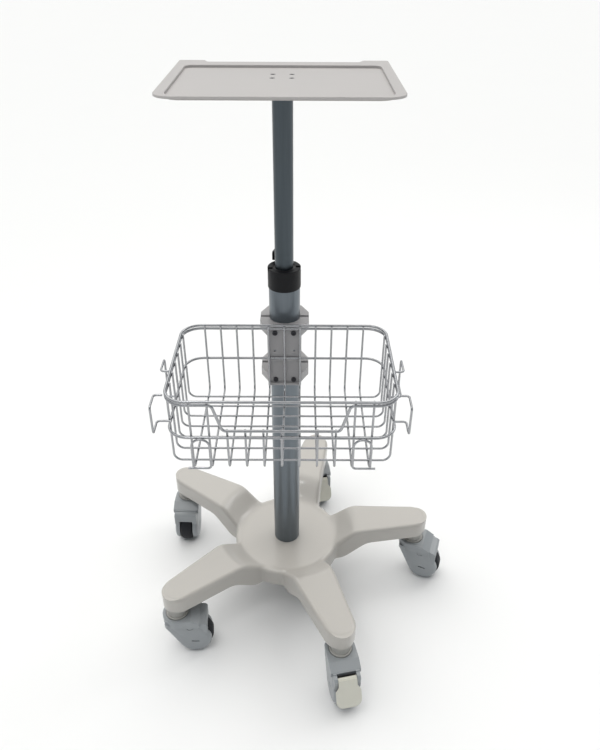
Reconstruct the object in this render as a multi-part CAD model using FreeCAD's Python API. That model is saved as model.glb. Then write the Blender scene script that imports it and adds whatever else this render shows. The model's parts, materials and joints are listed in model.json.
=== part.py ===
"""Height-adjustable wheeled stand for a portable medical instrument.

A five-armed cast base on swivel casters carries a telescopic column.  The
column has a clamped wire basket at half height and a shallow tray on top.

Units are millimetres, +Z up, the floor at z = 0.  Everything is designed
about the column's axis and then moved by ORIGIN_X, ORIGIN_Y, so that the
frame's origin is the middle of the stand's footprint on the floor.
"""
import FreeCAD, Part
import math
import os

V = FreeCAD.Vector
UP = V(0, 0, 1)

# ---------------------------------------------------------------- dimensions
ORIGIN_X, ORIGIN_Y = 40.78, -20.78  # footprint centre, seen from the column
RUN = 0.05                         # radial clearance of a running fit

# base casting
ARM_ANGLES = {"right": 4.0, "rear": 76.0, "rear_left": 148.0,
              "front_left": 220.0, "front_right": 292.0}
ARM_TIP_R = 31.5                   # round end of an arm
ARM_END = 282.0                    # column axis to the round end's centre
ARM_TAPER = 0.092                  # half-width gained per mm towards the hub
HUB_R = 115.0
HUB_TOP, ARM_TOP = 134.0, 171.0
SKIRT = 37.0                       # height of the casting's edge
UNDER_SHIFT = 26.0                 # the edge's S-bend lies further out than the top's
CAST_WALL = 5.0
CORNER_R = 12.0                    # inner corners between arm and hub
EDGE_R = 8.0                       # rounded top edge
STEM_R_POS = 291.0                 # column axis to a caster's swivel axis

# casters
WHEEL_D, TYRE_W = 75.0, 28.0
HUB_HALF = 15.2                    # half length of the hub, clear of the fork
TRAIL = 33.0
CASTER_HEADING = {"right": -20.0, "rear": -78.0, "rear_left": -92.0,
                  "front_left": 5.0, "front_right": -78.0}
BRAKED = ("rear", "front_right")
HOUSING_W = 60.0                   # top of the housing
COVER_W, COVER_R = 54.0, 33.5      # round side covers
HOUSING_TOP = 105.0
NECK_D, RING_D, PIVOT_D, STEM_D = 38.0, 45.0, 20.0, 12.0
STEM_SEAT = 134.0                  # underside of the arm's boss
AXLE_D, AXLE_HALF = 10.0, 24.0
BEARING_D = 34.0
COVER_EDGE_R = 7.5
LIP_W = 52.0                       # block behind the housing, over the tyre
PEDAL_X, PEDAL_Z = 54.0, 84.0      # pin of the brake pedal
PEDAL_BAY, PEDAL_W, PEDAL_LONG, PEDAL_LEAN = 38.0, 50.0, 58.0, 24.0

# column
TUBE_D, TUBE_WALL = 55.0, 2.5
TUBE_FOOT, TUBE_TOP = 128.0, 770.0
MAST_D, MAST_WALL = 32.0, 2.0
MAST_FOOT = 470.0
COLLAR_D, COLLAR_Z0, COLLAR_Z1 = 57.5, 755.0, 792.0
BUSH_D = 38.0
LEVER_X, LEVER_Y, LEVER_Z = -5.0, 31.0, 780.0   # hinge of the collar lever
LEVER_W, LEVER_HUB, LEVER_TOP = 33.0, 16.0, 811.0

# clamps and plate
CLAMP_HALF, CLAMP_CHAMFER = 43.5, 13.5
CLAMP_FRONT = 41.0                 # flat at the front and back
CLAMP_GAP = 5.0
CLAMP_H = 18.0
CLAMP_TOPS = {"upper": 695.0, "lower": 597.0}
CLAMP_BOLT_X, CLAMP_WAIST = 36.0, 16.0
PLATE_W, PLATE_T = 60.0, 4.0
PLATE_Z0, PLATE_Z1 = 577.0, 694.0
SCREW_X = 16.3
SPARE_X, SPARE_Z = 17.0, 649.0     # two free holes in the plate

# basket, wire centre lines
RIM_D, GRID_D = 4.5, 3.5
BASKET_W, BASKET_BACK, BASKET_FRONT = 350.0, -47.25, -271.25
BASKET_RIM, BASKET_RIM2, BASKET_MID = 702.0, 696.0, 635.0
BASKET_FLOOR = 572.5
BASKET_CORNER = 32.0
LONG_BEND, CROSS_BEND, DIP_BEND = 12.0, 13.0, 8.0
LONG_PITCH, CROSS_PITCH = 27.5, 28.5
WELD = 0.25                        # how far crossing wires sink into each other
CROSS_START = -79.0                # the cross wire nearest the column
HOOK_X, HOOK_HIGH, HOOK_LOW = 190.0, 701.5, 653.0
HOOK_ARMS = ((-253.25, -284.0), (-189.75, -155.0))   # arm, far end of the loop
LOOP_TOP, LOOP_FOOT = 634.2, 577.0
DIP_TOP_X, DIP_LOW_X, DIP_Z = 103.0, 89.0, 648.0

# tray
TRAY_HALF = 166.5
TRAY_FRONT, TRAY_BACK = -156.0, 108.0
NOTCH_Y = 94.0                     # back edge between the two ears
EAR_X, NOTCH_X = 126.0, 119.0      # the ears' inner edge leans between these
TRAY_TOP, TRAY_T, TRAY_EDGE = 1100.0, 1.5, 3.5
FLOOR_DROP = 4.0                   # the tray's floor below its border
FLOOR_HALF, FLOOR_FRONT, FLOOR_BACK = 151.0, -151.0, 66.0
TRAY_FRONT_R, TRAY_BACK_R = 28.0, 4.0
TRAY_SCREW_XY, TRAY_SCREW_D = 14.2, 5.0
TRAY_HEAD_D, TRAY_SINK = 8.4, 1.4  # countersunk head, and its depth
FLANGE_D, FLANGE_T = 70.0, 8.0
FLANGE_TOP = TRAY_TOP - FLOOR_DROP - TRAY_T


# ------------------------------------------------------------------- helpers
def box(x0, x1, y0, y1, z0, z1):
    return Part.makeBox(x1 - x0, y1 - y0, z1 - z0, V(x0, y0, z0))


def cyl(d, z0, z1, x=0.0, y=0.0):
    return Part.makeCylinder(d / 2, z1 - z0, V(x, y, z0), UP)


def rod(d, start, end):
    """Straight round bar between two points."""
    start, end = V(*start), V(*end)
    return Part.makeCylinder(d / 2, (end - start).Length, start, end - start)


def turned(shape, degrees, centre=(0, 0, 0), axis=(0, 0, 1)):
    out = shape.copy()
    out.rotate(V(*centre), V(*axis), degrees)
    return out


def moved(shape, x=0.0, y=0.0, z=0.0):
    out = shape.copy()
    out.translate(V(x, y, z))
    return out


def prism(points, z0, z1):
    """Upright prism on a polygon of (x, y) points."""
    ring = [V(x, y, z0) for x, y in points]
    return Part.Face(Part.makePolygon(ring + ring[:1])).extrude(V(0, 0, z1 - z0))


def fuse(shapes):
    out = shapes[0]
    if len(shapes) > 1:
        out = out.multiFuse(shapes[1:])
    return out.removeSplitter()


def wire(path, d, closed=False):
    """Round wire as straight bars and bends that meet face to face.

    Each point of the path is (x, y, z, bend radius).
    """
    pts = [V(*p[:3]) for p in path]
    count = len(pts)
    bends, pieces = {}, []
    for i in range(count) if closed else range(1, count - 1):
        a = (pts[i - 1] - pts[i]).normalize()
        b = (pts[(i + 1) % count] - pts[i]).normalize()
        radius, half = path[i][3], a.getAngle(b) / 2
        back = radius / math.tan(half)
        start, end = pts[i] + a * back, pts[i] + b * back
        centre = pts[i] + (a + b).normalize() * (radius / math.sin(half))
        bends[i] = (start, end)
        disc = Part.Face(Part.Wire(Part.makeCircle(d / 2, start, a * -1)))
        pieces.append(disc.revolve(centre, b.cross(a), 180 - 2 * math.degrees(half)))
    for i in range(count if closed else count - 1):
        j = (i + 1) % count
        start = bends[i][1] if i in bends else pts[i]
        end = bends[j][0] if j in bends else pts[j]
        if (end - start).Length > 1e-6:
            pieces.append(rod(d, start, end))
    return pieces


# -------------------------------------------------------------- base casting
def gull_curve(height, shift=0.0):
    """Profile from the axis outwards: low hub, S-bend, high arms."""
    low, high = HUB_TOP + height, ARM_TOP + height
    reach = ARM_END + ARM_TIP_R + 30
    poles = [V(r, 0, low) for r in (0, 30, 60)]
    poles += [V(r + shift, 0, low) for r in (80, 96, 110)]
    poles += [V(r + shift, 0, high) for r in (150, 168, 192, 220, 255)]
    poles.append(V(reach, 0, high))
    curve = Part.BSplineCurve()
    curve.buildFromPoles(poles, False, 3)
    return curve


def gull_disc(upper, lower):
    """Round body between two such profiles."""
    a, b = upper.StartPoint, upper.EndPoint
    c, d = lower.EndPoint, lower.StartPoint
    edges = [upper.toShape(), Part.LineSegment(b, c).toShape(), lower.toShape(),
             Part.LineSegment(d, a).toShape()]
    disc = Part.Face(Part.Wire(edges)).revolve(V(0, 0, 0), UP, 360)
    return turned(disc, 40)


def arc_through(a, b, c):
    return Part.Arc(a, b, c).toShape()


def arm_outline(inset):
    """Edges of one arm's outline along +X, from hub to tip and back."""
    tip, hub, corner = ARM_TIP_R - inset, HUB_R - inset, CORNER_R + inset
    lean = math.atan(ARM_TAPER)
    out = V(math.sin(lean), math.cos(lean), 0)
    along = V(math.cos(lean), -math.sin(lean), 0)
    reach = tip + ARM_END * math.sin(lean) + corner
    centre = out * reach + along * math.sqrt((hub + corner) ** 2 - reach ** 2)
    on_hub = centre * (hub / (hub + corner))
    on_side = centre - out * corner
    middle = centre + ((on_hub - centre) + (on_side - centre)).normalize() * corner
    on_tip = V(ARM_END, 0, 0) + out * tip
    low = lambda p: V(p.x, -p.y, 0)
    return [arc_through(low(on_hub), low(middle), low(on_side)),
            Part.LineSegment(low(on_side), low(on_tip)).toShape(),
            arc_through(low(on_tip), V(ARM_END + tip, 0, 0), on_tip),
            Part.LineSegment(on_tip, on_side).toShape(),
            arc_through(on_side, middle, on_hub)], on_hub


def star_prism(inset, z0, z1):
    """Plan outline of the casting as an upright prism, drawn in by inset."""
    arm, on_hub = arm_outline(inset)
    half = math.degrees(math.atan2(on_hub.y, on_hub.x))
    step = 360.0 / len(ARM_ANGLES)
    gap = [turned(Part.Vertex(on_hub), a).Point for a in (0, step / 2 - half, step - 2 * half)]
    arm.append(arc_through(*gap))
    first = min(ARM_ANGLES.values())
    edges = [turned(e, first + step * i) for i in range(len(ARM_ANGLES)) for e in arm]
    face = Part.Face(Part.Wire(edges))
    return moved(face, z=z0).extrude(V(0, 0, z1 - z0))


def top_edges(body):
    """Edges where the top surface of the casting meets its upright skirt."""
    found = []
    for face in body.Faces:
        u0, u1, v0, v1 = face.ParameterRange
        if abs(face.normalAt((u0 + u1) / 2, (v0 + v1) / 2).z) > 0.1:
            continue
        flat = [e for e in face.Edges
                if e.BoundBox.XLength > 0.01 or e.BoundBox.YLength > 0.01]
        middle = face.CenterOfMass.z
        found += [e for e in flat if e.CenterOfMass.z > middle]
    return found


def base_casting():
    """Five-armed gull-wing shell with bosses, ribs and the column's socket."""
    z0, z1 = 60.0, 200.0
    outside = gull_disc(gull_curve(0.0), gull_curve(-SKIRT, UNDER_SHIFT))
    shell = star_prism(0.0, z0, z1).common(outside)
    shell = shell.makeFillet(EDGE_R, top_edges(shell))
    hollow = gull_disc(gull_curve(-CAST_WALL), gull_curve(-60.0, UNDER_SHIFT))
    shell = shell.cut(star_prism(CAST_WALL, z0, z1).common(hollow))
    rib_space = gull_disc(gull_curve(-1.0), gull_curve(-22.0))
    extra = [cyl(84, 100, HUB_TOP - 1)]
    for angle in ARM_ANGLES.values():
        boss = cyl(50, STEM_SEAT, ARM_TOP - 1, STEM_R_POS)
        rib = box(30, STEM_R_POS, -2.5, 2.5, z0, z1).common(rib_space)
        extra += [turned(boss, angle), turned(rib, angle)]
    body = fuse([shell] + extra)
    holes = [cyl(TUBE_D, TUBE_FOOT, z1), cyl(12.2, z0, z1)]
    for angle in ARM_ANGLES.values():
        holes.append(turned(cyl(STEM_D, z0, STEM_SEAT + 26, STEM_R_POS), angle))
    return body.cut(Part.makeCompound(holes))


def base_bolt():
    """Screw and broad washer that pull the column down into the hub."""
    washer = cyl(60, 96, 100).cut(cyl(12.2, 90, 104))
    head = cyl(19, 88, 96)
    shank = cyl(12, 96, 150)
    socket = prism([(5.8 * math.cos(math.radians(a)), 5.8 * math.sin(math.radians(a)))
                    for a in range(0, 360, 60)], 87, 93)
    return Part.makeCompound([washer, fuse([head, shank]).cut(socket)])


# ------------------------------------------------------------------- casters
def caster_place(shape, name):
    """Move a caster piece from its own frame (swivel axis at 0,0) to its arm."""
    angle = math.radians(ARM_ANGLES[name])
    out = turned(shape, CASTER_HEADING[name])
    return moved(out, STEM_R_POS * math.cos(angle), STEM_R_POS * math.sin(angle))


def side_covers():
    """Fork and round covers in one block, with the outer edges rounded."""
    x, z, r = TRAIL, WHEEL_D / 2, COVER_R
    lead = (4 - HOUSING_W / 2, 84.0)
    # line from the leading corner that just touches the round cover
    dx, dz = lead[0] - x, lead[1] - z
    angle = math.atan2(dz, dx) + math.acos(r / math.hypot(dx, dz))
    touch = (x + r * math.cos(angle), z + r * math.sin(angle))
    leave = (x + r * math.cos(math.radians(35)), z + r * math.sin(math.radians(35)))
    ring = [leave, (46.0, 84.0), (46.0, 92.0), (lead[0], 92.0), lead, touch]
    pts = [V(px, -COVER_W / 2, pz) for px, pz in ring]
    edges = [Part.LineSegment(a, b).toShape() for a, b in zip(pts, pts[1:])]
    edges.append(Part.Arc(pts[5], V(x, -COVER_W / 2, z - r), pts[0]).toShape())
    body = Part.Face(Part.Wire(edges)).extrude(V(0, COVER_W, 0))
    rims = [e for e in body.Edges if e.BoundBox.YLength < 0.01 and e.CenterOfMass.z < 91]
    return body.makeFillet(COVER_EDGE_R, rims)


def wheel_space():
    """Room for the wheel between the covers."""
    half = TYRE_W / 2 + 1.5
    axis = Part.makeCylinder(WHEEL_D / 2 + 3.5, 2 * half,
                             V(TRAIL, -half, WHEEL_D / 2), V(0, 1, 0))
    return fuse([axis, box(TRAIL, 90, -half, half, -5, WHEEL_D / 2)])


def side_slab(ring, half):
    """Plate of constant side profile, a polygon of (x, z) points."""
    pts = [V(x, -half, z) for x, z in ring]
    return Part.Face(Part.makePolygon(pts + pts[:1])).extrude(V(0, 2 * half, 0))


def housing_cap():
    """Top of the housing: round at the swivel, sloping back to a lip."""
    half = HOUSING_W / 2
    plan = fuse([cyl(HOUSING_W, 80, 112), box(0, 45, -half, half, 80, 112)])
    side = [(-40, 86), (45, 84), (45, 95), (28, HOUSING_TOP), (-40, HOUSING_TOP)]
    cap = plan.common(side_slab(side, 40))
    rims = [e for e in cap.Edges if e.CenterOfMass.z > 93.5
            and e.BoundBox.ZLength < 11 and abs(e.CenterOfMass.x - 28) > 0.5]
    cap = cap.makeFillet(1.6, [e for e in rims if e.CenterOfMass.z > 95.5])
    lip = [(42, 60), (60, 60), (60, 86), (56, 90), (48, 91.5), (48, 93.5), (42, 95)]
    block = side_slab(lip, LIP_W / 2)
    return fuse([cap, block])


def cover_marks():
    """Slot at the axle and a round plug, sunk into both side covers."""
    cuts = []
    for s in (-1, 1):
        y0, y1 = sorted((s * COVER_W / 2 + s, s * AXLE_HALF))
        slot = box(TRAIL - 8, TRAIL + 8, y0, y1, WHEEL_D / 2 - 1.7, WHEEL_D / 2 + 1.7)
        cuts.append(turned(slot, 8, (TRAIL, 0, WHEEL_D / 2), (0, 1, 0)))
        y0, y1 = sorted((s * COVER_W / 2 + s, s * (COVER_W / 2 - 1.5)))
        plug = [Part.makeCylinder(r, y1 - y0, V(24.5, y0, 80), V(0, 1, 0)) for r in (6, 5)]
        cuts.append(plug[0].cut(plug[1]))
    return cuts


def caster_housing(braked):
    """Off-white cover and fork in one, with the swivel seat on top."""
    body = fuse([side_covers(), housing_cap()]).cut(wheel_space())
    cuts = [cyl(RING_D + 2, HOUSING_TOP - 2.5, 120),
            cyl(PIVOT_D + 2 * RUN, 60, 120),
            cyl(BEARING_D + 2 * RUN, HOUSING_TOP - 10.5, 120),
            rod(AXLE_D, (TRAIL, -AXLE_HALF, WHEEL_D / 2), (TRAIL, AXLE_HALF, WHEEL_D / 2))]
    cuts += cover_marks()
    if braked:
        # bay for the pedal, between two cheeks that hold its pin
        cuts.append(box(46.5, 70, -PEDAL_BAY / 2, PEDAL_BAY / 2, 50, 110))
        cuts.append(pedal_pin())
    return body.cut(Part.makeCompound(cuts))


def caster_stem():
    """Fixed stem: threaded rod, neck, cover disc and pivot pin."""
    shape = [cyl(STEM_D, STEM_SEAT, STEM_SEAT + 25), cyl(NECK_D, HOUSING_TOP + 3, STEM_SEAT),
             cyl(RING_D, HOUSING_TOP - 2.4, HOUSING_TOP + 3),
             cyl(PIVOT_D, 84, HOUSING_TOP)]
    body = fuse(shape)
    step = [e for e in body.Edges if abs(e.CenterOfMass.z - HOUSING_TOP - 3) < 0.01
            and abs(e.BoundBox.XLength - RING_D) < 0.01]
    return body.makeFillet(2.0, step)


def swivel_bearing():
    ring = cyl(BEARING_D, HOUSING_TOP - 10.45, HOUSING_TOP - 2.4)
    return ring.cut(cyl(PIVOT_D, 80, 120))


def wheel_hub():
    """Moulded wheel centre with a web between hub and rim."""
    z = WHEEL_D / 2
    ring = lambda r, h: Part.makeCylinder(r, 2 * h, V(TRAIL, -h, z), V(0, 1, 0))
    body = fuse([ring(11, HUB_HALF), ring(28, 3), ring(28, 13).cut(ring(24, 14))])
    spokes = []
    for i in range(6):
        spoke = box(TRAIL + 9, TRAIL + 25, -11, 11, z - 1.5, z + 1.5)
        spokes.append(turned(spoke, 60 * i, (TRAIL, 0, z), (0, 1, 0)))
    return fuse([body] + spokes).cut(ring(AXLE_D / 2 + RUN, 20))


def tyre():
    """Soft tread with rounded shoulders."""
    z = WHEEL_D / 2
    ring = lambda r, h: Part.makeCylinder(r, 2 * h, V(TRAIL, -h, z), V(0, 1, 0))
    body = ring(z, TYRE_W / 2)
    body = body.makeFillet(7.0, [e for e in body.Edges if e.Closed])
    body = body.cut(ring(28, 20))
    return body


def wheel_axle():
    return rod(AXLE_D, (TRAIL, -AXLE_HALF, WHEEL_D / 2), (TRAIL, AXLE_HALF, WHEEL_D / 2))


def brake_pedal():
    """Broad tread plate that hangs from its pin behind the wheel."""
    x, z = PEDAL_X, PEDAL_Z
    wide, narrow = PEDAL_W / 2, PEDAL_BAY / 2 - 0.5
    ring = [(-narrow, 0), (-narrow, -14), (-wide, -24), (-wide, -PEDAL_LONG),
            (wide, -PEDAL_LONG), (wide, -24), (narrow, -14), (narrow, 0)]
    pts = [V(x + 2.5, y, z + h) for y, h in ring]
    plate = Part.Face(Part.makePolygon(pts + pts[:1])).extrude(V(3.5, 0, 0))
    low = [e for e in plate.Edges if e.CenterOfMass.z < z - PEDAL_LONG + 0.01
           and e.BoundBox.YLength < 0.01]
    plate = plate.makeFillet(15.0, low)
    hub = rod(8, (x, -narrow, z), (x, narrow, z))
    web = box(x - 2, x + 3, -12, 12, z - 10, z)
    top = box(x, x + 6, -narrow, narrow, z - 3, z + 1)
    body = fuse([plate, hub, web, top])
    body = body.cut(rod(4 + 2 * RUN, (x, -40, z), (x, 40, z)))
    return turned(body, -PEDAL_LEAN, (x, 0, z), (0, 1, 0))


def pedal_pin():
    reach = LIP_W / 2 - 1
    return rod(4, (PEDAL_X, -reach, PEDAL_Z), (PEDAL_X, reach, PEDAL_Z))


# -------------------------------------------------------------------- column
def outer_tube():
    bore = cyl(TUBE_D - 2 * TUBE_WALL, 0, 1000)
    return cyl(TUBE_D, TUBE_FOOT, TUBE_TOP).cut(bore)


def foot_plug():
    """Turned plug in the foot of the outer tube, tapped for the base bolt."""
    return cyl(TUBE_D - 2 * TUBE_WALL, TUBE_FOOT, 160).cut(cyl(12, 100, 150))


def inner_tube():
    bore = cyl(MAST_D - 2 * MAST_WALL, 0, 2000)
    return cyl(MAST_D, MAST_FOOT, FLANGE_TOP - FLANGE_T).cut(bore)


def mast_foot_bush():
    """Plastic slide at the bottom of the inner tube."""
    bore_d = TUBE_D - 2 * TUBE_WALL
    ring = cyl(bore_d - 2 * RUN, MAST_FOOT, MAST_FOOT + 30).cut(cyl(MAST_D, 0, 900))
    cap = cyl(bore_d - 2 * RUN, MAST_FOOT - 4, MAST_FOOT)
    return fuse([ring, cap.cut(cyl(20, 0, 900))])


def collar():
    """Black collar over the top of the outer tube, with two hinge lugs."""
    body = cyl(COLLAR_D, COLLAR_Z0, COLLAR_Z1)
    body = body.makeFillet(1.2, [e for e in body.Edges if e.Closed])
    half = LEVER_HUB / 2 + 0.3
    lugs = []
    for x0, x1 in ((LEVER_X - half - 4, LEVER_X - half), (LEVER_X + half, LEVER_X + half + 4)):
        block = box(x0, x1, 22, LEVER_Y, LEVER_Z - 6, LEVER_Z + 6)
        lugs.append(fuse([block, rod(12, (x0, LEVER_Y, LEVER_Z), (x1, LEVER_Y, LEVER_Z))]))
    body = fuse([body] + lugs)
    cuts = [cyl(TUBE_D, 700, TUBE_TOP), cyl(BUSH_D, 700, 900), lever_pin(),
            rod(13, (LEVER_X - half, LEVER_Y, LEVER_Z), (LEVER_X + half, LEVER_Y, LEVER_Z)),
            box(LEVER_X - half, LEVER_X + half, 24.5, 40, LEVER_Z, 900),
            box(-40, -20, -10.5, -3.5, COLLAR_Z1 - 7, 900),
            box(20, 40, -3.5, 3.5, COLLAR_Z1 - 7, 900)]
    return body.cut(Part.makeCompound(cuts))


def guide_bush():
    """Plastic bush that guides the inner tube in the collar."""
    low = cyl(TUBE_D - 2 * TUBE_WALL, TUBE_TOP - 22, TUBE_TOP)
    body = fuse([low, cyl(BUSH_D, TUBE_TOP - 22, COLLAR_Z1 - 1)])
    return body.cut(cyl(MAST_D + 2 * RUN, 0, 1000))


def collar_lever():
    """Cam lever that stands up behind the inner tube when it is locked."""
    x, y, z = LEVER_X, LEVER_Y, LEVER_Z
    hub = rod(11, (x - LEVER_HUB / 2, y, z), (x + LEVER_HUB / 2, y, z))
    web = box(x - LEVER_HUB / 2, x + LEVER_HUB / 2, y - 5, y + 3, z, z + 16)
    half = LEVER_W / 2
    ring = [(-half, 13.5), (half, 13.5), (half, LEVER_TOP - z - 5),
            (half - 4, LEVER_TOP - z), (4 - half, LEVER_TOP - z), (-half, LEVER_TOP - z - 5)]
    pts = [V(x + a, y - 9, z + h) for a, h in ring]
    blade = Part.Face(Part.makePolygon(pts + pts[:1])).extrude(V(0, 11, 0))
    blade = blade.makeFillet(2.0, [e for e in blade.Edges if e.CenterOfMass.z > z + 14])
    bore = rod(4 + 2 * RUN, (x - 20, y, z), (x + 20, y, z))
    return fuse([hub, web, blade]).cut(bore)


def lever_pin():
    reach = LEVER_HUB / 2 + 4
    return rod(4, (LEVER_X - reach, LEVER_Y, LEVER_Z), (LEVER_X + reach, LEVER_Y, LEVER_Z))


# ---------------------------------------------------------- clamps and plate
def clamp_half(level, front):
    """One half of an eight-sided clamp block around the outer tube."""
    z1 = CLAMP_TOPS[level]
    z0, mid = z1 - CLAMP_H, z1 - CLAMP_H / 2
    h, c, f = CLAMP_HALF, CLAMP_CHAMFER, CLAMP_FRONT
    s = -1 if front else 1
    half = [(h, s * CLAMP_GAP / 2), (h, s * CLAMP_WAIST), (h - c, s * f), (c - h, s * f),
            (-h, s * CLAMP_WAIST), (-h, s * CLAMP_GAP / 2)]
    body = prism(half, z0, z1)
    body = body.makeChamfer(0.8, [e for e in body.Edges if e.BoundBox.ZLength < 0.01])
    cuts = [cyl(TUBE_D, 0, 900)]
    for x in (-CLAMP_BOLT_X, CLAMP_BOLT_X):
        cuts.append(rod(5, (x, -20, mid), (x, 20, mid)))
        if not front:
            cuts.append(rod(9, (x, 12, mid), (x, 40, mid)))
    if front:
        cuts += [rod(5, (x, -f - 1, mid), (x, -f + 9, mid)) for x in (-SCREW_X, SCREW_X)]
    return body.cut(Part.makeCompound(cuts))


def clamp_bolts():
    """Socket screws that draw the clamp halves together from behind."""
    out = []
    for z1 in CLAMP_TOPS.values():
        z = z1 - CLAMP_H / 2
        for x in (-CLAMP_BOLT_X, CLAMP_BOLT_X):
            head = rod(9, (x, 12, z), (x, 17, z))
            shank = rod(5, (x, -20, z), (x, 12, z))
            key = rod(4, (x, 14.5, z), (x, 18, z))
            out.append(fuse([head, shank]).cut(key))
    return Part.makeCompound(out)


def plate_screw_places():
    return [(x, z1 - CLAMP_H / 2) for x in (-SCREW_X, SCREW_X) for z1 in CLAMP_TOPS.values()]


def basket_plate():
    """Flat bracket plate with two lips that carry the basket's wires."""
    back = -CLAMP_FRONT
    front = back - PLATE_T
    half = PLATE_W / 2
    body = box(-half, half, front, back, PLATE_Z0, PLATE_Z1)
    mid_low = BASKET_MID - RIM_D / 2
    lips = [box(-half, half, front - 4, front, PLATE_Z0, PLATE_Z0 + 4.5),
            box(-half, half, front - 3, front, mid_low - 3.0, mid_low)]
    body = fuse([body] + lips)
    cuts = [rod(5, (x, -60, z), (x, -30, z)) for x, z in plate_screw_places()]
    cuts += [rod(4.2, (x, -60, SPARE_Z), (x, -30, SPARE_Z)) for x in (-SPARE_X, SPARE_X)]
    return body.cut(Part.makeCompound(cuts))


def plate_screws():
    """Button-head screws through the plate into the clamp fronts."""
    out = []
    y = -CLAMP_FRONT - PLATE_T
    for x, z in plate_screw_places():
        head = rod(9.0, (x, y, z), (x, y - 2.4, z))
        shank = rod(5, (x, y, z), (x, -CLAMP_FRONT + 9, z))
        key = rod(4, (x, y - 3, z), (x, y - 0.8, z))
        out.append(fuse([head, shank]).cut(key))
    return Part.makeCompound(out)


# -------------------------------------------------------------------- basket
INSIDE = (RIM_D + GRID_D) / 2 - WELD    # grid wires lie this far inside the rings


def ring(z):
    """Closed rectangular wire ring with round corners."""
    half, r = BASKET_W / 2, BASKET_CORNER
    path = [(-half, BASKET_BACK, z, r), (-half, BASKET_FRONT, z, r),
            (half, BASKET_FRONT, z, r), (half, BASKET_BACK, z, r)]
    return Part.makeCompound(wire(path, RIM_D, True))


def rim_lower():
    """Second rim wire; at the front it dips to make a low opening."""
    z, half, r, y = BASKET_RIM2, BASKET_W / 2, BASKET_CORNER, BASKET_FRONT
    path = [(-half, BASKET_BACK, z, r), (-half, y, z, r), (-DIP_TOP_X, y, z, DIP_BEND),
            (-DIP_LOW_X, y, DIP_Z, DIP_BEND), (DIP_LOW_X, y, DIP_Z, DIP_BEND),
            (DIP_TOP_X, y, z, DIP_BEND), (half, y, z, r), (half, BASKET_BACK, z, r)]
    return Part.makeCompound(wire(path, RIM_D, True))


def long_wires():
    """Wires that run down the back, along the floor and up the front."""
    out = []
    back, front = BASKET_BACK - INSIDE, BASKET_FRONT + INSIDE
    low = BASKET_FLOOR - GRID_D + WELD
    for i in range(-5, 6):
        x = i * LONG_PITCH
        front_top = BASKET_RIM if abs(i) > 3 else DIP_Z
        out += wire([(x, back, BASKET_RIM, 0), (x, back, low, LONG_BEND),
                     (x, front, low, LONG_BEND), (x, front, front_top, 0)], GRID_D)
    return Part.makeCompound(out)


def cross_wires():
    """Wires that run down one side, across the floor and up the other."""
    out = []
    half = BASKET_W / 2 - INSIDE
    for i in range(7):
        y = CROSS_START - i * CROSS_PITCH
        out += wire([(-half, y, BASKET_RIM, 0), (-half, y, BASKET_FLOOR, CROSS_BEND),
                     (half, y, BASKET_FLOOR, CROSS_BEND), (half, y, BASKET_RIM, 0)], GRID_D)
    return Part.makeCompound(out)


def side_hooks():
    """Wire loops on both sides, to wrap a lead around."""
    out = []
    butt = BASKET_W / 2 + RIM_D / 2 - WELD
    beside = BASKET_W / 2 - INSIDE - GRID_D / 2
    for side in (-1, 1):
        for y, far in HOOK_ARMS:
            x = side * HOOK_X
            out += wire([(side * butt, y, HOOK_HIGH, 0), (x, y, HOOK_HIGH, 5),
                         (x, far, HOOK_HIGH, 5), (x, far, HOOK_LOW, 5),
                         (x, y, HOOK_LOW, 5), (side * beside, y, HOOK_LOW, 0)], GRID_D)
    return Part.makeCompound(out)


def cable_loops():
    """Arched loops with a foot, low on the front wall."""
    out = []
    y = BASKET_FRONT - (RIM_D + GRID_D) / 2 + WELD
    for side in (-1, 1):
        inner, outer = side * 4 * LONG_PITCH, side * 5 * LONG_PITCH
        out += wire([(outer + side * 8, y, LOOP_FOOT, 0), (inner, y, LOOP_FOOT, 5),
                     (inner, y, LOOP_TOP, LONG_PITCH / 2), (outer, y, LOOP_TOP, LONG_PITCH / 2),
                     (outer, y, LOOP_FOOT + GRID_D / 2, 0)], GRID_D)
    return Part.makeCompound(out)


# ---------------------------------------------------------------------- tray
def fillet_corners(body, places, radius):
    """Round the upright edges that stand at the given (x, y) corners."""
    edges = [e for e in body.Edges for x, y in places
             if e.BoundBox.XLength < 0.01 and e.BoundBox.YLength < 0.01
             and math.hypot(e.CenterOfMass.x - x, e.CenterOfMass.y - y) < 0.5]
    return body.makeFillet(radius, edges)


def tray_slab(inset, z0, z1):
    """Slab on the tray's plan: round front corners and two ears at the back."""
    w, front, back = TRAY_HALF - inset, TRAY_FRONT + inset, TRAY_BACK - inset
    ear, notch, notch_y = EAR_X + inset, NOTCH_X + inset, NOTCH_Y - inset
    ring = [(-w, front), (w, front), (w, back), (ear, back), (notch, notch_y),
            (-notch, notch_y), (-ear, back), (-w, back)]
    body = prism(ring, z0, z1)
    body = fillet_corners(body, ring[:2], TRAY_FRONT_R - inset)
    body = fillet_corners(body, [ring[2], ring[7]], TRAY_BACK_R)
    return fillet_corners(body, [ring[3], ring[4], ring[5], ring[6]], TRAY_BACK_R)


def floor_slab(inset, z0, z1):
    """Rounded rectangle of the tray's sunken floor."""
    w, front, back = FLOOR_HALF - inset, FLOOR_FRONT + inset, FLOOR_BACK - inset
    ring = [(-w, front), (w, front), (w, back), (-w, back)]
    body = prism(ring, z0, z1)
    body = fillet_corners(body, ring[:2], 22.0 - inset)
    return fillet_corners(body, ring[2:], 12.0 - inset)


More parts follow.
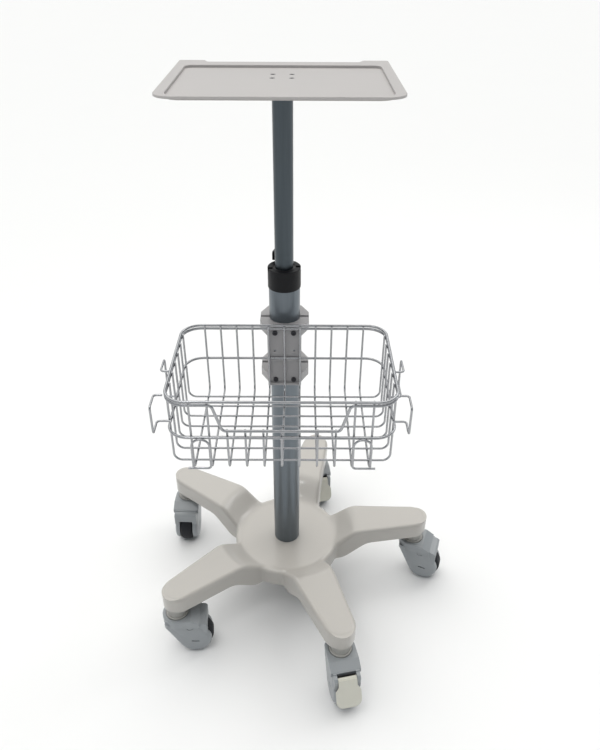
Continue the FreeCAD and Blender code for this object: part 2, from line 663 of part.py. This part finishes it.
def tray():
    """Pressed tray: border with a turned-down edge and a shallow floor."""
    top, low = TRAY_TOP, TRAY_TOP - FLOOR_DROP
    body = tray_slab(0.0, top - TRAY_EDGE, top)
    rims = [e for e in body.Edges if abs(e.CenterOfMass.z - top) < 0.01]
    body = body.makeFillet(1.2, rims)
    body = body.cut(tray_slab(TRAY_T, top - 20, top - TRAY_T))
    body = fuse([body, floor_slab(-TRAY_T, low - TRAY_T, top)])
    body = body.cut(floor_slab(0.0, low, top + 1))
    inner = [e for e in body.Edges if abs(e.CenterOfMass.z - top) < 0.01
             and abs(e.CenterOfMass.x) < FLOOR_HALF + 0.1
             and FLOOR_FRONT - 0.1 < e.CenterOfMass.y < FLOOR_BACK + 0.1]
    body = body.makeFillet(1.2, inner)
    return body.cut(Part.makeCompound([fuse([cyl(TRAY_SCREW_D, low - 5, top, x, y),
                                             countersink(low, x, y)])
                                       for x, y in tray_screw_places()]))


def countersink(top, x, y):
    """Cone of a flat-headed tray screw, its wide end at the given height."""
    return Part.makeCone(TRAY_SCREW_D / 2, TRAY_HEAD_D / 2, TRAY_SINK, V(x, y, top - TRAY_SINK))


def tray_screw_places():
    a = TRAY_SCREW_XY
    return [(-a, -a), (a, -a), (a, a), (-a, a)]


def tray_flange():
    """Disc and plug that carry the tray on the inner tube."""
    z0 = FLANGE_TOP - FLANGE_T
    plug = cyl(MAST_D - 2 * MAST_WALL, z0 - 25, z0)
    body = fuse([cyl(FLANGE_D, z0, FLANGE_TOP), plug])
    return body.cut(Part.makeCompound([cyl(TRAY_SCREW_D, z0 - 9, FLANGE_TOP, x, y)
                                       for x, y in tray_screw_places()]))


def tray_screws():
    """Countersunk screws from above, flush with the floor, into the flange."""
    low = TRAY_TOP - FLOOR_DROP
    out = []
    for x, y in tray_screw_places():
        shank = cyl(TRAY_SCREW_D, low - TRAY_T - 7, low - 0.5, x, y)
        key = cyl(3, low - 1.4, low + 1, x, y)
        above = cyl(2 * TRAY_HEAD_D, low - 0.1, low + 1, x, y)
        out.append(fuse([countersink(low, x, y), shank]).cut(fuse([key, above])))
    return Part.makeCompound(out)


# ------------------------------------------------------------------ assembly
def build():
    parts = {
        "base_casting": base_casting(), "base_bolt": base_bolt(),
        "outer_tube": outer_tube(), "foot_plug": foot_plug(),
        "collar": collar(), "guide_bush": guide_bush(), "lever_pin": lever_pin(),
        "collar_lever": collar_lever(),
        "basket_plate": basket_plate(), "plate_screws": plate_screws(),
        "clamp_bolts": clamp_bolts(),
        "basket_rim_top": ring(BASKET_RIM), "basket_rim_lower": rim_lower(),
        "basket_mid_ring": ring(BASKET_MID),
        "basket_long_wires": long_wires(), "basket_cross_wires": cross_wires(),
        "basket_side_hooks": side_hooks(), "basket_cable_loops": cable_loops(),
        "inner_tube": inner_tube(), "mast_foot_bush": mast_foot_bush(),
        "tray": tray(), "tray_flange": tray_flange(), "tray_screws": tray_screws(),
    }
    for level in CLAMP_TOPS:
        parts[f"{level}_clamp_front"] = clamp_half(level, True)
        parts[f"{level}_clamp_rear"] = clamp_half(level, False)
    stem, bearing = caster_stem(), swivel_bearing()
    names = list(ARM_ANGLES)
    parts["caster_stems"] = Part.makeCompound([caster_place(stem, n) for n in names])
    parts["swivel_bearings"] = Part.makeCompound(
        [caster_place(bearing, n) for n in names])
    hub, tread, axle = wheel_hub(), tyre(), wheel_axle()
    for name in names:
        braked = name in BRAKED
        parts[f"{name}_caster_housing"] = caster_place(caster_housing(braked), name)
        parts[f"{name}_wheel_hub"] = caster_place(hub, name)
        parts[f"{name}_tyre"] = caster_place(tread, name)
        parts[f"{name}_axle"] = caster_place(axle, name)
        if braked:
            parts[f"{name}_brake_pedal"] = caster_place(brake_pedal(), name)
            parts[f"{name}_pedal_pin"] = caster_place(pedal_pin(), name)
    return parts


def main():
    os.makedirs("parts", exist_ok=True)
    whole = FreeCAD.BoundBox()
    for name, shape in build().items():
        shape = moved(shape, -ORIGIN_X, -ORIGIN_Y)
        shape.exportStep(f"parts/{name}.step")
        whole.add(shape.BoundBox)
        state = "ok" if shape.isValid() else "INVALID"
        print(f"{name:28s} {state} solids {len(shape.Solids)} volume {shape.Volume:.0f}")
    print("box", whole)


main()
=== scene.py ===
import json
import math

import bmesh
import bpy
from mathutils import Matrix, Vector


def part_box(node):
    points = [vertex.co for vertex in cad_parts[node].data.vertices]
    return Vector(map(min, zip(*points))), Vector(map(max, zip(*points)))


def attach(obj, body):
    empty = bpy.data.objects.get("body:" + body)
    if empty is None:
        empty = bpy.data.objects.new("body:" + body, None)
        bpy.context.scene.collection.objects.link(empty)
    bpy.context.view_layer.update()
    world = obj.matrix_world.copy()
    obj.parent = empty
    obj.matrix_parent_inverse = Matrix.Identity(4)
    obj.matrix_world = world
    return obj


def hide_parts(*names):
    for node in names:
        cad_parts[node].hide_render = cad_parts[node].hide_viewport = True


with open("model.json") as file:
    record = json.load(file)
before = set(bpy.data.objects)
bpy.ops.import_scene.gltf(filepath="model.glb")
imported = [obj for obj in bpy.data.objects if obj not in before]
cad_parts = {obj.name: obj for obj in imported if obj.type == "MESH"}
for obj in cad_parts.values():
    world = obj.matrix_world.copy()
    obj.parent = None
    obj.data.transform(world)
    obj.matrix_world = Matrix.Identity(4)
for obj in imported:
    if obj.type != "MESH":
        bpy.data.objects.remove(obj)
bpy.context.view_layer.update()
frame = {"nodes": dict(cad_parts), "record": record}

MM = 0.001
ARMS = ("right", "rear", "rear_left", "front_left", "front_right")
BRAKED = ("rear", "front_right")
JOINTS = {joint["name"]: joint for joint in frame["record"]["behaviour"]["joints"]}

tube_low, tube_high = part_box("outer_tube")
AXIS = Vector(((tube_low.x + tube_high.x) / 2, (tube_low.y + tube_high.y) / 2, 0))


def at(x, y, z):
    """A point given in millimetres from the column's foot, in the row frame."""
    return AXIS + Vector((x, y, z)) * MM


# ------------------------------------------------------------------ materials
GRAIN_DEPTH = 0.0006        # metres
COAT_ROUGH = 0.12
REFLECTION_BANDS = (1, 1, 0.03)        # stretches the blotches along a tube into long bands: painted reflection bands


def surface(name, colour, metallic=0.0, rough=0.45, vary=0.06, patch=30.0,
            grain=900.0, bump=0.04, stretch=(1, 1, 1), rough_vary=0.08, coat=0.0,
            shine=0.5):
    """Principled material: blotchy colour and roughness, fine grain as bump.

    On large glossy parts the roughness stays above 0.28 over its whole range: where it
    crosses about 0.27, the denoiser leaves a visible outline.
    """
    material = bpy.data.materials.new(name)
    material.use_nodes = True
    tree = material.node_tree
    shader = tree.nodes["Principled BSDF"]
    link = tree.links.new
    place = tree.nodes.new("ShaderNodeTexCoord")
    mapping = tree.nodes.new("ShaderNodeMapping")
    mapping.inputs["Scale"].default_value = stretch
    link(place.outputs["Object"], mapping.inputs["Vector"])

    broad = tree.nodes.new("ShaderNodeTexNoise")
    broad.inputs["Scale"].default_value = patch
    broad.inputs["Detail"].default_value = 1.5
    fine = tree.nodes.new("ShaderNodeTexNoise")
    fine.inputs["Scale"].default_value = grain
    fine.inputs["Detail"].default_value = 3.0
    for node in (broad, fine):
        link(mapping.outputs["Vector"], node.inputs["Vector"])

    ramp = tree.nodes.new("ShaderNodeValToRGB")
    dark = [c * (1 - vary) for c in colour]
    light = [min(1.0, c * (1 + vary)) for c in colour]
    ramp.color_ramp.elements[0].position = 0.12
    ramp.color_ramp.elements[0].color = (*dark, 1)
    ramp.color_ramp.elements[1].position = 0.88
    ramp.color_ramp.elements[1].color = (*light, 1)
    link(broad.outputs["Fac"], ramp.inputs["Fac"])

    speckle = tree.nodes.new("ShaderNodeMapRange")
    speckle.inputs["To Min"].default_value = 1 - vary * 0.5
    speckle.inputs["To Max"].default_value = 1 + vary * 0.5
    link(fine.outputs["Fac"], speckle.inputs["Value"])
    tone = tree.nodes.new("ShaderNodeVectorMath")
    tone.operation = "SCALE"
    link(ramp.outputs["Color"], tone.inputs[0])
    link(speckle.outputs["Result"], tone.inputs["Scale"])
    link(tone.outputs["Vector"], shader.inputs["Base Color"])

    gloss = tree.nodes.new("ShaderNodeMapRange")
    gloss.inputs["To Min"].default_value = max(0.02, rough - rough_vary)
    gloss.inputs["To Max"].default_value = min(1.0, rough + rough_vary)
    link(broad.outputs["Fac"], gloss.inputs["Value"])
    link(gloss.outputs["Result"], shader.inputs["Roughness"])

    relief = tree.nodes.new("ShaderNodeBump")
    relief.inputs["Strength"].default_value = bump
    relief.inputs["Distance"].default_value = GRAIN_DEPTH
    link(fine.outputs["Fac"], relief.inputs["Height"])
    link(relief.outputs["Normal"], shader.inputs["Normal"])
    shader.inputs["Metallic"].default_value = metallic
    shader.inputs["Specular IOR Level"].default_value = shine
    shader.inputs["Coat Weight"].default_value = coat
    shader.inputs["Coat Roughness"].default_value = COAT_ROUGH
    return material


def srgb(r, g, b):
    """Linear colour of an 8-bit screen colour."""
    return [((c / 255 + 0.055) / 1.055) ** 2.4 if c > 10 else c / 3295 for c in (r, g, b)]


MATERIALS = {
    "base_paint": surface("cast_paint", srgb(179, 175, 169), rough=0.36, vary=0.012,
                          patch=7, grain=420, bump=0.08, rough_vary=0.05, coat=0.5),
    "stem_paint": surface("neck_paint", srgb(166, 164, 159), rough=0.38, vary=0.03,
                          grain=500, bump=0.08, coat=0.2),
    "tray_paint": surface("tray_paint", srgb(180, 176, 174), rough=0.48, vary=0.02,
                          patch=14, grain=1500, bump=0.16, coat=0.1),
    "bracket_paint": surface("bracket_paint", srgb(158, 156, 157), rough=0.40, vary=0.04,
                             grain=1300, bump=0.16),
    # anodised tubes: their own dark blue-grey, made darker still and banded along their
    # length as painted reflection of dark surroundings
    "column_anodised": surface("column_anodised", srgb(111, 118, 124), metallic=0.9,
                               rough=0.34, vary=0.15, patch=75, grain=700, bump=0.05,
                               stretch=REFLECTION_BANDS, rough_vary=0.05),
    "mast_anodised": surface("mast_anodised", srgb(75, 82, 87), metallic=0.9, rough=0.33,
                             vary=0.18, patch=110, grain=900, bump=0.05,
                             stretch=REFLECTION_BANDS, rough_vary=0.05),
    "plain_aluminium": surface("turned_aluminium", srgb(180, 181, 184), metallic=1.0,
                               rough=0.35, stretch=(1, 1, 0.1)),
    "wire_silver": surface("wire_silver", srgb(165, 166, 169), metallic=0.85, rough=0.22,
                           vary=0.06, patch=60, grain=1800, bump=0.05),
    "steel": surface("zinc_steel", srgb(170, 172, 176), metallic=1.0, rough=0.32,
                     patch=120, grain=2000),
    "dark_steel": surface("blackened_steel", srgb(58, 58, 62), metallic=0.9, rough=0.36,
                          vary=0.15, patch=200, grain=2000),
    "black_plastic": surface("black_plastic", srgb(22, 22, 25), rough=0.46, vary=0.15,
                             grain=2400, bump=0.22, shine=0.2),
    "slide_plastic": surface("slide_plastic", srgb(60, 60, 62), rough=0.5, vary=0.1,
                             grain=1600, bump=0.1),
    "caster_plastic": surface("caster_plastic", srgb(149, 153, 156), rough=0.37,
                              vary=0.025, grain=1100, bump=0.08, coat=0.15),
    "hub_plastic": surface("hub_plastic", srgb(120, 126, 134), rough=0.45, vary=0.05,
                           grain=1400, bump=0.1),
    "tyre_rubber": surface("tyre_rubber", srgb(26, 28, 33), rough=0.55, vary=0.12,
                           patch=90, grain=1200, bump=0.25, shine=0.3),
    "pedal_plastic": surface("pedal_plastic", srgb(210, 208, 196), rough=0.38,
                             vary=0.03, grain=1100, bump=0.08, coat=0.15),
}


# -------------------------------------------------------------------- helpers
def shade(obj, angle=35.0):
    """Smooth shading except across edges sharper than the angle."""
    mesh = obj.data
    work = bmesh.new()
    work.from_mesh(mesh)
    for face in work.faces:
        face.smooth = True
    for edge in work.edges:
        edge.smooth = edge.calc_face_angle(math.pi) < math.radians(angle)
    work.to_mesh(mesh)
    work.free()


def finish_piece(name, work, body, slot, stands_for=(), angle=35.0):
    """Turns a bmesh into a named piece that rides on a body."""
    bmesh.ops.recalc_face_normals(work, faces=work.faces)
    mesh = bpy.data.meshes.new(name)
    work.to_mesh(mesh)
    work.free()
    obj = bpy.data.objects.new(name, mesh)
    bpy.context.scene.collection.objects.link(obj)
    mesh.materials.append(MATERIALS[slot])
    shade(obj, angle)
    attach(obj, body)
    if stands_for:
        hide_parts(*stands_for)
    return obj


def rounded(points, closed=False, steps=9):
    """Wire's path in the row frame; every point is (x, y, z, bend radius)."""
    spots = [at(*p[:3]) for p in points]
    count = len(points)
    path = []
    for i, here in enumerate(spots):
        if not closed and i in (0, count - 1):
            path.append(here)
            continue
        a = (spots[i - 1] - here).normalized()
        b = (spots[(i + 1) % count] - here).normalized()
        bend, half = points[i][3] * MM, a.angle(b) / 2
        back = bend / math.tan(half)
        centre = here + (a + b).normalized() * (bend / math.sin(half))
        start, end = here + a * back - centre, here + b * back - centre
        turn = start.angle(end)
        normal = start.cross(end)
        for k in range(steps + 1):
            path.append(centre + Matrix.Rotation(turn * k / steps, 3, normal) @ start)
    merged = [path[0]]
    for spot in path[1:]:
        if (spot - merged[-1]).length > 1e-6:
            merged.append(spot)
    return merged


def sweep(work, path, radius, sides=16, closed=False):
    """Round wire along a path, with flat ends."""
    count = len(path)
    tangents = []
    for i in range(count):
        if closed:
            ahead, behind = path[(i + 1) % count], path[i - 1]
        else:
            ahead, behind = path[min(i + 1, count - 1)], path[max(i - 1, 0)]
        tangents.append((ahead - behind).normalized())
    normal = tangents[0].orthogonal().normalized()
    rings = []
    for point, tangent in zip(path, tangents):
        normal = (normal - tangent * normal.dot(tangent)).normalized()
        other = tangent.cross(normal)
        rings.append([work.verts.new(point + (normal * math.cos(a) + other * math.sin(a))
                                     * radius)
                      for a in (math.tau * k / sides for k in range(sides))])
    pairs = list(zip(rings, rings[1:]))
    if closed:
        pairs.append((rings[-1], rings[0]))
    for one, two in pairs:
        for k in range(sides):
            work.faces.new((one[k], one[k - 1], two[k - 1], two[k]))
    if not closed:
        for ring, point in ((rings[0], path[0]), (rings[-1], path[-1])):
            inner = [work.verts.new(point + (v.co - point) * 0.6) for v in ring]
            for k in range(sides):
                work.faces.new((ring[k - 1], ring[k], inner[k], inner[k - 1]))
            work.faces.new(inner)


def lathe(work, profile, origin, axis, sides=96):
    """Ring-shaped solid: a closed profile of (radius, distance along the axis)."""
    axis = axis.normalized()
    u = axis.orthogonal().normalized()
    v = axis.cross(u)
    rings = []
    for k in range(sides):
        a = math.tau * k / sides
        out = u * math.cos(a) + v * math.sin(a)
        rings.append([work.verts.new(origin + (out * r + axis * h) * MM)
                      for r, h in profile])
    size = len(profile)
    for k in range(sides):
        one, two = rings[k - 1], rings[k]
        for i in range(size):
            work.faces.new((one[i - 1], one[i], two[i], two[i - 1]))


def refined(node, body, slot, bevel, angle=30.0, segments=2):
    """The CAD node's own shape with its sharp edges softened."""
    work = bmesh.new()
    work.from_mesh(frame["nodes"][node].data)
    bmesh.ops.remove_doubles(work, verts=work.verts, dist=1e-6)
    bmesh.ops.dissolve_limit(work, angle_limit=math.radians(1.0), verts=work.verts,
                             edges=work.edges)
    piece = finish_piece(node + "_look", work, body, slot, (node,), angle)
    edge = piece.modifiers.new("soft_edges", "BEVEL")
    edge.width = bevel * MM
    edge.segments = segments
    edge.limit_method = "ANGLE"
    edge.angle_limit = math.radians(angle)
    edge.harden_normals = True
    return piece


# --------------------------------------------------------------------- column
TUBE_WALL, MAST_WALL = 2.5, 2.0


def tube_from(node, body, wall, slot, ease=0.5, steps=24):
    """Round tube as long and as wide as the CAD node, its outer rims eased."""
    low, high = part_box(node)
    outer = (high.x - low.x) / 2 / MM
    inner, z0, z1 = outer - wall, low.z / MM, high.z / MM
    side = [(outer, z0 + ease + (z1 - z0 - 2 * ease) * i / steps)
            for i in range(steps, -1, -1)]
    ends = [(outer - ease, z0), (inner, z0), (inner, z1), (outer - ease, z1)]
    work = bmesh.new()
    lathe(work, ends + side, AXIS, Vector((0, 0, 1)))
    finish_piece(node + "_look", work, body, slot, (node,))


tube_from("outer_tube", "stand", TUBE_WALL, "column_anodised")
tube_from("inner_tube", "mast", MAST_WALL, "mast_anodised")


# --------------------------------------------------------------------- basket
RIM, GRID = 2.25, 1.75                     # wire radii
HALF_WIDE, BACK, FRONT = 175.0, -47.25, -271.25
RIM_Z, RIM2_Z, MID_Z, FLOOR_Z = 702.0, 696.0, 635.0, 572.5
CORNER = 32.0                              # bend radius of the rims
LONG_BEND, CROSS_BEND, DIP_BEND, HOOK_BEND = 12.0, 13.0, 8.0, 5.0
LONG_PITCH, CROSS_PITCH, CROSS_START = 27.5, 28.5, -79.0
WELD = 0.25                                # how far welded wires sink together
INSIDE = RIM + GRID - WELD
DIP_TOP, DIP_LOW, DIP_Z = 103.0, 89.0, 648.0
HOOK_X, HOOK_HIGH, HOOK_LOW = 190.0, 701.5, 653.0
HOOK_ARMS = ((-253.25, -284.0), (-189.75, -155.0))     # where welded, how far out
LOOP_TOP, LOOP_FOOT, LOOP_Y, LOOP_TOE = 634.2, 577.0, FRONT - INSIDE, 8.0


def wires(node, paths, radius, closed=False):
    """One piece from the wires of a node."""
    work = bmesh.new()
    for path in paths:
        sweep(work, rounded(path, closed), radius * MM, closed=closed)
    finish_piece(node + "_look", work, "stand", "wire_silver", (node,), 50)


def ring_path(z):
    """Level ring with round corners."""
    return [(-HALF_WIDE, BACK, z, CORNER), (-HALF_WIDE, FRONT, z, CORNER),
            (HALF_WIDE, FRONT, z, CORNER), (HALF_WIDE, BACK, z, CORNER)]


def long_path(i):
    """Down the back, along the floor and up the front."""
    x, back, front = i * LONG_PITCH, BACK - INSIDE, FRONT + INSIDE
    low = FLOOR_Z - 2 * GRID + WELD
    return [(x, back, RIM_Z, 0), (x, back, low, LONG_BEND), (x, front, low, LONG_BEND),
            (x, front, RIM_Z if abs(x) > DIP_TOP else DIP_Z, 0)]


def cross_path(i):
    """Down one side, across the floor and up the other."""
    y, x = CROSS_START - CROSS_PITCH * i, HALF_WIDE - INSIDE
    return [(-x, y, RIM_Z, 0), (-x, y, FLOOR_Z, CROSS_BEND),
            (x, y, FLOOR_Z, CROSS_BEND), (x, y, RIM_Z, 0)]


def hook_path(s, y, far):
    """Side hook: out from the rim, along, down, and back to the side wires."""
    x, bend = s * HOOK_X, HOOK_BEND
    return [(s * (HALF_WIDE + RIM - WELD), y, HOOK_HIGH, 0), (x, y, HOOK_HIGH, bend),
            (x, far, HOOK_HIGH, bend), (x, far, HOOK_LOW, bend), (x, y, HOOK_LOW, bend),
            (s * (HALF_WIDE - INSIDE - GRID), y, HOOK_LOW, 0)]


def loop_path(s):
    """Arched loop before the front, between the last two long wires of a side."""
    inner, outer, top = s * 4 * LONG_PITCH, s * 5 * LONG_PITCH, LONG_PITCH / 2
    return [(outer + s * LOOP_TOE, LOOP_Y, LOOP_FOOT, 0),
            (inner, LOOP_Y, LOOP_FOOT, HOOK_BEND),
            (inner, LOOP_Y, LOOP_TOP, top), (outer, LOOP_Y, LOOP_TOP, top),
            (outer, LOOP_Y, LOOP_FOOT + GRID, 0)]


wires("basket_rim_top", [ring_path(RIM_Z)], RIM, True)
wires("basket_mid_ring", [ring_path(MID_Z)], RIM, True)
wires("basket_rim_lower", [
    [(-HALF_WIDE, BACK, RIM2_Z, CORNER), (-HALF_WIDE, FRONT, RIM2_Z, CORNER),
     (-DIP_TOP, FRONT, RIM2_Z, DIP_BEND), (-DIP_LOW, FRONT, DIP_Z, DIP_BEND),
     (DIP_LOW, FRONT, DIP_Z, DIP_BEND), (DIP_TOP, FRONT, RIM2_Z, DIP_BEND),
     (HALF_WIDE, FRONT, RIM2_Z, CORNER),
     (HALF_WIDE, BACK, RIM2_Z, CORNER)]], RIM, True)
wires("basket_long_wires", [long_path(i) for i in range(-5, 6)], GRID)
wires("basket_cross_wires", [cross_path(i) for i in range(7)], GRID)
wires("basket_side_hooks", [hook_path(s, y, far) for s in (-1, 1)
                            for y, far in HOOK_ARMS], GRID)
wires("basket_cable_loops", [loop_path(s) for s in (-1, 1)], GRID)


# -------------------------------------------------------------------- casters
WHEEL_R, TYRE_HALF, TYRE_BORE, TYRE_SHOULDER = 37.5, 14.0, 28.0, 7.0
# dark leaf in the caster bay, painted shade: its half width, thickness and outline in the
# caster frame
BAY_SHADE_HALF, BAY_SHADE_THICK = 17.5, 0.9
BAY_SHADE_LINE = ((47.4, 62.0), (47.4, 78.0), (47.9, 84.0), (49.0, 88.0), (49.6, 91.0))


def tyre_profile(radius, half, inner, shoulder, steps=8):
    """Closed profile of (radius, distance along the axle) with round shoulders."""
    points = [(inner, half - 1), (inner, 1 - half), (inner + 1, -half)]
    centre_r, centre_h = radius - shoulder, half - shoulder
    for k in range(steps + 1):
        a = math.pi / 2 * k / steps
        points.append((centre_r + shoulder * math.sin(a), -centre_h - shoulder * math.cos(a)))
    for k in range(steps + 1):
        a = math.pi / 2 * k / steps
        points.append((centre_r + shoulder * math.cos(a), centre_h + shoulder * math.sin(a)))
    points.append((inner + 1, half))
    return points


def tyre(arm):
    """Tread of one wheel, turned about the joint's own axis."""
    wheel = JOINTS[arm + "_wheel_spin"]
    work = bmesh.new()
    lathe(work, tyre_profile(WHEEL_R, TYRE_HALF, TYRE_BORE, TYRE_SHOULDER),
          Vector(wheel["pos_m"]), Vector(wheel["axis"]), 128)
    finish_piece(arm + "_tyre_look", work, arm + "_wheel", "tyre_rubber",
                 (arm + "_tyre",))


def on_caster(arm, x, y, z):
    """A point in a caster's own frame: swivel axis at 0,0 and the wheel along +x."""
    swivel = Vector(JOINTS[arm + "_swivel"]["pos_m"])
    trail = Vector(JOINTS[arm + "_wheel_spin"]["pos_m"]) - swivel
    trail.z = 0
    trail.normalize()
    side = Vector((-trail.y, trail.x, 0))
    foot = Vector((swivel.x, swivel.y, 0))
    return foot + (trail * x + side * y) * MM + Vector((0, 0, z * MM))


def pedal_bay_shade(arm):
    """Dark leaf, shaped like a spring, in the bay behind the pedal: a dark sheet placed as
    painted shade of the bay.
    """
    outline = list(BAY_SHADE_LINE)
    outline += [(x + BAY_SHADE_THICK, z) for x, z in reversed(BAY_SHADE_LINE)]
    work = bmesh.new()
    left, right = [[work.verts.new(on_caster(arm, x, y, z)) for x, z in outline]
                   for y in (-BAY_SHADE_HALF, BAY_SHADE_HALF)]
    for k in range(len(outline)):
        work.faces.new((left[k - 1], left[k], right[k], right[k - 1]))
    work.faces.new(left)
    work.faces.new(right)
    finish_piece(arm + "_pedal_bay_shade", work, arm + "_caster", "dark_steel")


for arm in ARMS:
    tyre(arm)
# dark leaves in the braked casters' bays: painted shade
for arm in BRAKED:
    pedal_bay_shade(arm)

# ------------------------------------------------------------- CAD solids
EASE, SOFT_EASE = 0.5, 0.6          # bevels on hard parts and on moulded ones

for entry in frame["record"]["subparts"]:
    solid = frame["nodes"][entry["node"]]
    solid.data.materials.clear()
    solid.data.materials.append(MATERIALS[entry["material_slot"]])

for level in ("upper", "lower"):
    for half in ("front", "rear"):
        refined(f"{level}_clamp_{half}", "stand", "bracket_paint", EASE)
refined("basket_plate", "stand", "bracket_paint", EASE)
refined("collar", "stand", "black_plastic", EASE)
refined("collar_lever", "lever", "black_plastic", SOFT_EASE)
refined("caster_stems", "stand", "stem_paint", SOFT_EASE)
for arm in ARMS:
    refined(arm + "_caster_housing", arm + "_caster", "caster_plastic", SOFT_EASE)
for arm in BRAKED:
    refined(arm + "_brake_pedal", arm + "_pedal", "pedal_plastic", SOFT_EASE)

# ---------------------------------------------------------------------- stage
FLOOR_HALF = 30.0                   # metres
HORIZON_GLOW, TOP_GLOW, TOP_AT = 0.60, 0.20, 0.5

floor_mesh = bpy.data.meshes.new("floor")
floor_mesh.from_pydata([(sx * FLOOR_HALF, sy * FLOOR_HALF, 0)
                        for sx, sy in ((-1, -1), (1, -1), (1, 1), (-1, 1))],
                       [], [(0, 1, 2, 3)])
floor = bpy.data.objects.new("floor", floor_mesh)
bpy.context.scene.collection.objects.link(floor)
floor_mesh.materials.append(surface("floor_pale", srgb(240, 240, 240), rough=0.9,
                                    vary=0.004, patch=2.0, grain=40, bump=0.01))

world = bpy.data.worlds.new("studio")
world.use_nodes = True
backdrop = world.node_tree.nodes["Background"]
backdrop.inputs["Color"].default_value = (0.86, 0.94, 1.0, 1)
direction = world.node_tree.nodes.new("ShaderNodeTexCoord")
height = world.node_tree.nodes.new("ShaderNodeSeparateXYZ")
fade = world.node_tree.nodes.new("ShaderNodeMapRange")
for value, setting in {"From Min": 0.0, "From Max": TOP_AT, "To Min": HORIZON_GLOW,
                       "To Max": TOP_GLOW}.items():
    fade.inputs[value].default_value = setting
world.node_tree.links.new(direction.outputs["Generated"], height.inputs["Vector"])
world.node_tree.links.new(height.outputs["Z"], fade.inputs["Value"])
world.node_tree.links.new(fade.outputs["Result"], backdrop.inputs["Strength"])
bpy.context.scene.world = world
bpy.context.scene.view_settings.view_transform = "Standard"

ceiling_data = bpy.data.lights.new("ceiling", "SUN")
ceiling_data.energy = 3.0
ceiling_data.angle = math.radians(100)
ceiling_data.color = (1.0, 0.985, 0.955)
ceiling = bpy.data.objects.new("ceiling", ceiling_data)
ceiling.rotation_euler = (math.radians(-17), math.radians(-6), 0)
bpy.context.scene.collection.objects.link(ceiling)


def softbox(name, place, aim, size, power):
    """Rectangular area light that looks at a point."""
    data = bpy.data.lights.new(name, "AREA")
    data.shape = "RECTANGLE"
    data.size, data.size_y = size
    data.energy = power
    light = bpy.data.objects.new(name, data)
    light.location = place
    light.rotation_euler = (Vector(aim) - Vector(place)).to_track_quat("-Z", "Y").to_euler()
    bpy.context.scene.collection.objects.link(light)


softbox("key", (-0.7, -0.9, 2.6), (0, 0, 0.2), (0.35, 0.35), 4)
softbox("rim", (1.5, 1.0, 2.0), (0, 0, 0.5), (0.5, 1.0), 5)

# --------------------------------------------------------------------- camera
CAMERA_AT = (26.9, -1065.3, 1289.8)
PITCH_DOWN, ROLL, YAW = math.radians(34.175), math.radians(0.243), math.radians(-0.055)
SENSOR, LENS = 36.0, 32.42

camera_data = bpy.data.cameras.new("camera")
camera_data.sensor_width = SENSOR
camera_data.lens = LENS
camera = bpy.data.objects.new("camera", camera_data)
bpy.context.scene.collection.objects.link(camera)
camera.matrix_world = (Matrix.Translation(at(*CAMERA_AT))
                       @ Matrix.Rotation(YAW, 4, "Z")
                       @ Matrix.Rotation(math.pi / 2 - PITCH_DOWN, 4, "X")
                       @ Matrix.Rotation(ROLL, 4, "Z"))
bpy.context.scene.camera = camera
